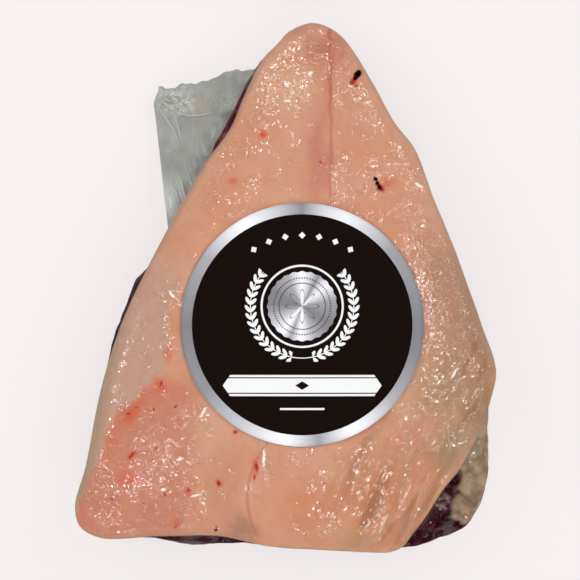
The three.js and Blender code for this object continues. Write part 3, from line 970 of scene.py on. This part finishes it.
def lean_finish():
    f = Finish("beef_lean")
    grain = f.noise(1.6, detail=3, where=f.stretched(70, 8))
    colour = f.mix(grain.above(0.3, 0.7), srgb(32, 5, 13), srgb(62, 16, 26))
    membrane = f.noise(13, detail=4).above(0.55, 0.72) * f.noise(2.2, detail=2)
    colour = f.mix(membrane * 0.2, colour, srgb(112, 82, 82))

    # The cut corner: big lobes of brownish fat with darker clefts, and silverskin
    drift = f.shift(f.noise(8, detail=2, output=1), 7)
    shreds = f.shift(f.noise(3, detail=2, output=1), 2.5, drift)
    edge = f.left_of(shreds, (74, -102), (80, -60))
    edge = edge.calc("MAXIMUM", f.left_of(shreds, (92, -103), (74, -97)))
    reach = f.axis(f.mm, "X").above(66, 70) * f.axis(shreds, "Y").above(-24, -34)
    corner = edge.above(1.2, -2) * reach
    lobes = f.noise(7, detail=2, where=shreds)
    colour = f.mix(corner, colour, srgb(120, 98, 80))
    colour = f.mix(corner * lobes.above(0.3, 0.66), colour, srgb(158, 135, 108))
    clefts = (f.noise(11, detail=1, where=drift) - 0.5).calc("ABSOLUTE").above(0.08, 0.0)
    colour = f.mix(corner * clefts * 0.35, colour, srgb(84, 62, 50))
    silver = f.patch(shreds, 72, -89, 5, 5, 40, 0.2) * f.noise(2.5, detail=3).above(0.35, 0.6)
    colour = f.mix(silver * 0.85, colour, srgb(140, 122, 116))
    blotches = masks(f, shreds, [(78, -75, 3, 4, 0), (77, -84, 3, 3, 0)], 0.3)
    colour = f.mix(blotches * 0.85, colour, srgb(52, 24, 34))
    sliver = f.patch(f.mm, -42, 97, 14, 34, -32, 0.5)
    colour = f.mix(sliver * grain.above(0.2, 0.6) * 0.7, colour, srgb(106, 36, 58))
    normal = f.bump(grain * 0.4 + lobes, 0.8)
    return f.surface(f.principled(
        colour, 0.5, normal,
        Subsurface_Weight=0.1, Subsurface_Radius=(1.0, 0.2, 0.15), Subsurface_Scale=0.002,
        Specular_IOR_Level=0.1, IOR=1.05,
    ))


def bag_end_finish():
    f = Finish("loose_film")
    creases = f.attribute("creases")
    x, y = f.axis(f.mm, "X"), f.axis(f.mm, "Y")
    upright = f.node("ShaderNodeMapping", None, {"Vector": f.mm, "Scale": (1, 0.1, 1)})
    streaks = f.noise(2.2, detail=2, where=upright)
    cloud = f.noise(9, detail=3)
    colour = f.mix(cloud.above(0.35, 0.65), srgb(136, 138, 131), srgb(150, 151, 145))
    # Painted highlight: lighter along the vertical streaks of the bump
    colour = f.mix(streaks.above(0.4, 0.7) * 0.25, colour, srgb(172, 174, 168))
    low = y.above(82, 60) * 0.8
    colour = f.mix(low, colour, srgb(200, 204, 199))
    curled = f.shift(f.noise(4, detail=1, output=1), 4)
    squiggles = (f.noise(3, detail=2, where=curled) - 0.5).calc("ABSOLUTE")
    right = f.patch(f.mm, -36, 113, 14, 9, 0, 0.1)
    crumple = f.patch(f.mm, -64, 113, 15, 10, -12, 0.3).calc("MAXIMUM", right * 0.5)
    # Painted shade and highlight in the crumpled corner: darker between the squiggles and light along
    # them
    colour = f.mix(crumple * squiggles.above(0.1, 0.16) * 0.5, colour, srgb(112, 115, 108))
    squiggle_highlight = 0.15 + squiggles.above(0.035, 0.0) * 0.7
    colour = f.mix(crumple * squiggle_highlight, colour, srgb(212, 213, 206))
    brown = masks(f, curled, [(-50, 111, 8, 8, 20), (-56, 85, 2.4, 3, 0), (-51, 104, 6, 4, 0)], 0.1)
    colour = f.mix(brown * 0.6, colour, srgb(166, 152, 132))
    # Painted highlight: paler along the sharp creases
    colour = f.mix(creases.above(0.1, 0.8) * 0.5, colour, srgb(200, 201, 195))
    cover = 0.86 + creases.above(0.1, 0.5) * 0.1
    normal = f.bump(streaks + f.noise(3, detail=2), 0.2)
    body = f.principled(colour, 0.3, normal, Specular_IOR_Level=0.5)
    clear = f.node("ShaderNodeBsdfTransparent", None, {"Color": WHITE})
    return f.surface(f.node("ShaderNodeMixShader", None, {0: cover, 1: clear, 2: body}))


# Silver foil round the label: shade by the angle round it, from the left, anticlockwise
FOIL_STOPS = [
    (-180, 124), (-145, 140), (-120, 190), (-98, 238), (-82, 150), (-65, 240), (-40, 165),
    (-15, 128), (0, 124), (40, 150), (68, 226), (80, 200), (90, 132), (102, 190), (120, 236),
    (145, 160), (180, 124),
]

# The label's print: how far each part lies from the middle, up or out
MEDALLION_Y, WREATH_RADIUS, HOOP_RADIUS = 9, 25.5, 20
ARC_RADIUS, ARC_STEP = 44, 8.4
BANNER_Y, BAR_Y = -30, -41.5


def foil(f, angle):
    stops = [((at + 180) / 360, srgb(shade, shade, shade + 5)) for at, shade in FOIL_STOPS]
    return f.node("ShaderNodeValToRGB", {"stops": stops}, {0: angle * (1 / math.tau) + 0.5})


def label_finish():
    f = Finish("label_print")
    x, y = f.axis(f.mm, "X"), f.axis(f.mm, "Y")
    radius = (x * x + y * y) ** 0.5
    angle = y.calc("ARCTAN2", x)
    black, white = srgb(20, 12, 9), srgb(226, 226, 226)
    rise = y - MEDALLION_Y
    out = (x * x + rise * rise) ** 0.5
    turn = rise.calc("ARCTAN2", x)

    # An arc of small diamonds over the top
    from_top = x.calc("ARCTAN2", y)
    step = (from_top * ARC_RADIUS + ARC_STEP / 2).calc("FLOORED_MODULO", ARC_STEP) - ARC_STEP / 2
    diamond = step.calc("ABSOLUTE") + (radius - ARC_RADIUS).calc("ABSOLUTE")
    marks = diamond.above(1.8, 1.6) * from_top.calc("ABSOLUTE").above(0.68, 0.66)

    # A wreath of paired leaves round the medallion, open at the top
    from_foot = x.calc("ABSOLUTE").calc("ARCTAN2", rise * -1)
    along = (from_foot * WREATH_RADIUS).calc("FLOORED_MODULO", 3.7) - 1.85
    for side in (1, -1):
        across = (out - WREATH_RADIUS) * side - 1.35
        length = along * 0.8 + across * 0.6
        width = across * 0.8 - along * 0.6
        leaf = ((length / 2.1) ** 2 + (width / 0.85) ** 2).above(1.15, 0.85)
        ends = from_foot.above(0.2, 0.21) * from_foot.above(2.3, 2.29)
        marks = marks.calc("MAXIMUM", leaf * ends)
    stem = (out - WREATH_RADIUS).calc("ABSOLUTE").above(0.3, 0.15) * from_foot.above(2.3, 2.28)
    marks = marks.calc("MAXIMUM", stem)

    # A pointed banner with two thin rules and a small diamond
    drop = (y - BANNER_Y).calc("ABSOLUTE")
    banner = (x.calc("ABSOLUTE") + drop * 0.7).above(39.2, 39) * drop.above(5.3, 5.1)
    rules = (drop - 3.8).calc("ABSOLUTE").above(0.35, 0.2)
    centre = (x.calc("ABSOLUTE") * 0.6 + drop).above(2.2, 2.0)
    marks = marks.calc("MAXIMUM", banner * (1 - rules.calc("MAXIMUM", centre)))
    bar = x.calc("ABSOLUTE").above(11, 10.8) * (y - BAR_Y).calc("ABSOLUTE").above(0.6, 0.4)
    hoop = (out - HOOP_RADIUS).calc("ABSOLUTE").above(0.6, 0.4)
    marks = marks.calc("MAXIMUM", bar).calc("MAXIMUM", hoop)

    # The medallion: a notched silver disc with a ring of beads and an eight-petalled flower
    notched = (out - (turn * 24).calc("COSINE") * 0.25).above(17.2, 17.0)
    beads = ((turn * 14 + 0.65).calc("FLOORED_MODULO", 1.3) - 0.65) ** 2 + (out - 14) ** 2
    flower = (out - 5.6 - (turn * 8).calc("COSINE") * 2.6).calc("ABSOLUTE") - 0.3
    engraved = beads.above(0.25, 0.12).calc("MAXIMUM", flower.above(0.1, -0.1))
    engraved = engraved.calc("MAXIMUM", (out - 11.4).calc("ABSOLUTE").above(0.35, 0.2))
    silver = f.mix(engraved * 0.8, foil(f, turn + 0.5), srgb(60, 58, 60))

    colour = f.mix(marks, black, white)
    colour = f.mix(notched, colour, silver)
    ring = radius.above(PRINT_RADIUS - 0.1, PRINT_RADIUS + 0.1)
    colour = f.mix(ring, colour, foil(f, angle))
    roughness = 0.42 - ring * 0.1
    return f.surface(f.principled(colour, roughness, Specular_IOR_Level=0.01))


def floor_finish():
    f = Finish("pale_floor")
    shade = f.mix(f.noise(60, detail=2), (0.13, 0.123, 0.123, 1), (0.137, 0.129, 0.129, 1))
    glow = (0.95, 0.9, 0.9, 1)
    return f.surface(f.principled(
        shade, 0.9, Specular_IOR_Level=0.1, Emission_Color=glow, Emission_Strength=0.805,
    ))


# Stage: floor, lamps, surroundings and camera


FLOOR_SIDES, FLOOR_RADIUS = 96, 9


def floor():
    deselect()
    bpy.ops.mesh.primitive_circle_add(vertices=FLOOR_SIDES, radius=FLOOR_RADIUS, fill_type="NGON")
    piece = bpy.context.object
    piece.name = "floor"
    flat = coordinates(piece)
    flat[:, 2] = -FLOOR_DROP * MM
    piece.data.vertices.foreach_set("co", flat.ravel())
    piece.data.materials.append(floor_finish())


LAMP_DISTANCE = 1.15

# Wide soft lamps that light the meat, as bearing and tilt from the upright
SOFT_LAMPS = [(35, 50), (155, 50), (275, 50)]
SOFT_WIDTH, SOFT_POWER = 0.9, 7.4

# Rings of small lamps that make the glints alone: tilt, how many, and power
GLINT_RINGS = [(22, 4, 1.9), (50, 6, 1.8), (76, 6, 1.2)]
GLINT_WIDTH = 0.05


def lamp(name, bearing, tilt, width, power):
    light = bpy.data.lights.new(name, "AREA")
    light.shape = "DISK"
    light.size = width
    light.energy = power
    holder = bpy.data.objects.new(name, light)
    bpy.context.scene.collection.objects.link(holder)
    bearing, tilt = math.radians(bearing), math.radians(tilt)
    sideways = math.sin(tilt)
    away = Vector((sideways * math.cos(bearing), sideways * math.sin(bearing), math.cos(tilt)))
    holder.location = away * LAMP_DISTANCE
    holder.rotation_euler = away.to_track_quat("Z", "Y").to_euler()
    return holder


def lamps():
    for number, (bearing, tilt) in enumerate(SOFT_LAMPS):
        lamp(f"soft_lamp_{number}", bearing, tilt, SOFT_WIDTH, SOFT_POWER).visible_glossy = False
    for tilt, count, power in GLINT_RINGS:
        for number in range(count):
            bearing = 360 * number / count + tilt
            holder = lamp(f"glint_lamp_{tilt}_{number}", bearing, tilt, GLINT_WIDTH, power)
            holder.visible_diffuse = False


# Brightness of the surroundings by height, from the horizon to straight above
SKY_STOPS = [(0.0, 0.6), (0.5, 0.6), (0.65, 0.15), (1.0, 0.1)]


def surroundings():
    world = bpy.data.worlds.new("studio")
    world.use_nodes = True
    sky = Finish(world)
    height = sky.axis(sky.node("ShaderNodeTexCoord", output="Generated"), "Z")
    stops = [(position, (level, level, level, 1)) for position, level in SKY_STOPS]
    glow = sky.node("ShaderNodeValToRGB", {"stops": stops}, {0: height})
    light = sky.node("ShaderNodeBackground", None, {"Color": glow})
    sky.node("ShaderNodeOutputWorld", None, {"Surface": light}, None)
    bpy.context.scene.world = world


CAMERA_HEIGHT = 1.2
CAMERA_OFFSET = (-6, 17)
FRAME_WIDTH, FRAME_PLANE = 290, 28
SENSOR_WIDTH = 36


def camera():
    data = bpy.data.cameras.new("camera")
    data.sensor_width = SENSOR_WIDTH
    data.lens = SENSOR_WIDTH * (CAMERA_HEIGHT / MM - FRAME_PLANE) / FRAME_WIDTH
    holder = bpy.data.objects.new("camera", data)
    bpy.context.scene.collection.objects.link(holder)
    x = (CENTRE.x + CAMERA_OFFSET[0]) * MM
    y = (CENTRE.y + CAMERA_OFFSET[1]) * MM
    holder.location = (x, y, CAMERA_HEIGHT)
    bpy.context.scene.camera = holder


camera()
floor()
lamps()
surroundings()
belongs(fat_cap(), "vacuum_bag", fat_finish())
belongs(lean(), "vacuum_bag", lean_finish())
belongs(film(), "vacuum_bag", film_finish())
belongs(bag_end(), "vacuum_bag", bag_end_finish())
belongs(label(), "label", label_finish())
bpy.context.scene.view_settings.view_transform = "Standard"
